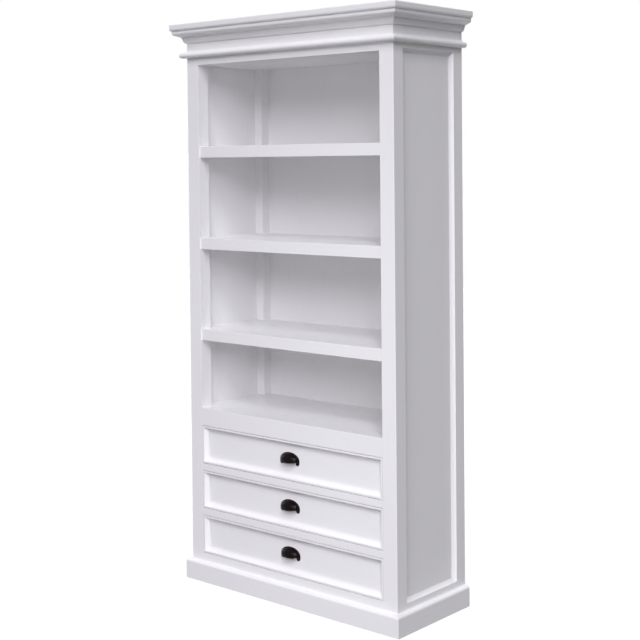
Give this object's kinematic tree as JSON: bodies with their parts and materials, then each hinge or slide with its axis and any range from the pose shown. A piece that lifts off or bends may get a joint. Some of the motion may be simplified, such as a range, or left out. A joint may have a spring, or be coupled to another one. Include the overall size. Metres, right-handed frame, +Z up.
{
  "type": "bookcase",
  "caption": "Tall painted bookcase: four open bays over inset drawers with cup pulls, moulded crown, framed side panels and a coved plinth.",
  "frame": {"origin": "on the floor, in the middle of the top board's width and depth", "axes": "+Z up, +X to the right as seen from the front, +Y to the back, so the front faces -Y"},
  "size_m": [0.9742, 0.4016, 1.903],
  "materials": {
    "white_paint": "satin white paint on wood",
    "bare_wood": "bare sanded pale wood",
    "dark_iron": "dark satin casting",
    "dark_steel": "dark satin screw heads"
  },
  "bodies": {
    "case": {"back_panel": "white_paint", "bottom_rail_back": "white_paint", "bottom_rail_front": "white_paint", "ceiling_board": "white_paint", "crown_front": "white_paint", "crown_left": "white_paint", "crown_right": "white_paint", "deck_board": "white_paint", "deck_rail": "white_paint", "drawer_rail_lower": "white_paint", "drawer_rail_upper": "white_paint", "drawer_runners": "bare_wood", "drawer_stops": "bare_wood", "floor_board": "bare_wood", "neck_moulding_front": "white_paint", "neck_moulding_left": "white_paint", "neck_moulding_right": "white_paint", "plinth_front": "white_paint", "plinth_left": "white_paint", "plinth_right": "white_paint", "post_back_left": "white_paint", "post_back_right": "white_paint", "post_front_left": "white_paint", "post_front_right": "white_paint", "shelf_1": "white_paint", "shelf_2": "white_paint", "shelf_3": "white_paint", "side_bottom_rail_left": "white_paint", "side_bottom_rail_right": "white_paint", "side_moulding_left": "white_paint", "side_moulding_right": "white_paint", "side_panel_left": "white_paint", "side_panel_right": "white_paint", "side_top_rail_left": "white_paint", "side_top_rail_right": "white_paint", "top_board": "white_paint", "top_rail_back": "white_paint", "top_rail_front": "white_paint"},
    "drawer_1": {"drawer_1_back": "bare_wood", "drawer_1_bottom": "bare_wood", "drawer_1_cup_pull": "dark_iron", "drawer_1_front": "white_paint", "drawer_1_pull_screws": "dark_steel", "drawer_1_side_left": "bare_wood", "drawer_1_side_right": "bare_wood"},
    "drawer_2": {"drawer_2_back": "bare_wood", "drawer_2_bottom": "bare_wood", "drawer_2_cup_pull": "dark_iron", "drawer_2_front": "white_paint", "drawer_2_pull_screws": "dark_steel", "drawer_2_side_left": "bare_wood", "drawer_2_side_right": "bare_wood"},
    "drawer_3": {"drawer_3_back": "bare_wood", "drawer_3_bottom": "bare_wood", "drawer_3_cup_pull": "dark_iron", "drawer_3_front": "white_paint", "drawer_3_pull_screws": "dark_steel", "drawer_3_side_left": "bare_wood", "drawer_3_side_right": "bare_wood"}
  },
  "joints": [
    {"name": "drawer_1_slide", "type": "slide", "parent": "case", "child": "drawer_1", "axis": [0, -1, 0], "range_m": [0, 0.25]},
    {"name": "drawer_2_slide", "type": "slide", "parent": "case", "child": "drawer_2", "axis": [0, -1, 0], "range_m": [0, 0.25]},
    {"name": "drawer_3_slide", "type": "slide", "parent": "case", "child": "drawer_3", "axis": [0, -1, 0], "range_m": [0, 0.25]}
  ]
}
